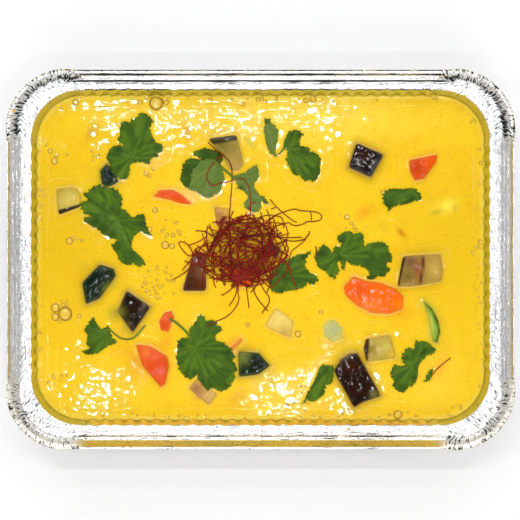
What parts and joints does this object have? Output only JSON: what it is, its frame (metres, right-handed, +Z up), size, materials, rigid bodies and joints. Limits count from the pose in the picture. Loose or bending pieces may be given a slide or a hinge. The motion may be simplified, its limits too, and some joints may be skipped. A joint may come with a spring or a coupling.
{
  "type": "foil tray of yellow vegetable curry",
  "caption": "Oblong foil takeaway tray filled with yellow curry, with aubergine, zucchini and carrot pieces, coriander leaves and a nest of chilli threads.",
  "frame": {"origin": "middle of the tray's footprint, on the surface it stands on", "axes": "+X along the tray, +Y across it towards the far side, +Z up"},
  "size_m": [0.2144, 0.1604, 0.045],
  "materials": {
    "foil": "bright crinkled aluminium foil, finely fluted walls",
    "sauce": "glossy yellow coconut curry sauce with fine spice specks",
    "aubergine": "stewed aubergine flesh, khaki to brown, wet",
    "aubergine_skin": "near-black aubergine skin, wet and glossy",
    "zucchini_skin": "dark green zucchini skin, wet",
    "zucchini_flesh": "pale translucent zucchini flesh",
    "carrot": "cooked carrot, wet",
    "coriander": "fresh coriander leaf, satin",
    "chilli": "dried chilli threads, dark crimson"
  },
  "bodies": {
    "root": {"foil_tray": "foil", "curry": "sauce", "aubergine_far_left": "aubergine", "aubergine_wedge": "aubergine", "aubergine_dark_cube": "aubergine_skin", "aubergine_by_nest": "aubergine", "aubergine_brown": "aubergine", "aubergine_split": "aubergine", "aubergine_diamond": "aubergine_skin", "aubergine_large": "aubergine_skin", "aubergine_pale": "aubergine", "aubergine_under_leaf": "aubergine", "aubergine_middle": "aubergine", "zucchini_left": "zucchini_skin", "zucchini_under_leaf": "zucchini_skin", "zucchini_lower": "zucchini_skin", "zucchini_rim": "zucchini_skin", "zucchini_in_nest": "zucchini_skin", "zucchini_disc": "zucchini_flesh", "carrot_crescent": "carrot", "carrot_upper_right": "carrot", "carrot_large": "carrot", "carrot_lower_left": "carrot", "carrot_half_sunk": "carrot", "carrot_in_nest": "carrot", "carrot_sliver": "carrot", "coriander_upper_left": "coriander", "coriander_left": "coriander", "coriander_pair": "coriander", "coriander_hooked": "coriander", "coriander_upper_right": "coriander", "coriander_right": "coriander", "coriander_by_nest": "coriander", "coriander_lower_left": "coriander", "coriander_large": "coriander", "coriander_folded": "coriander", "coriander_lower_right": "coriander", "coriander_scrap": "coriander", "chilli_nest": "chilli", "chilli_thread_short": "chilli", "chilli_thread_right": "chilli"}
  },
  "joints": []
}
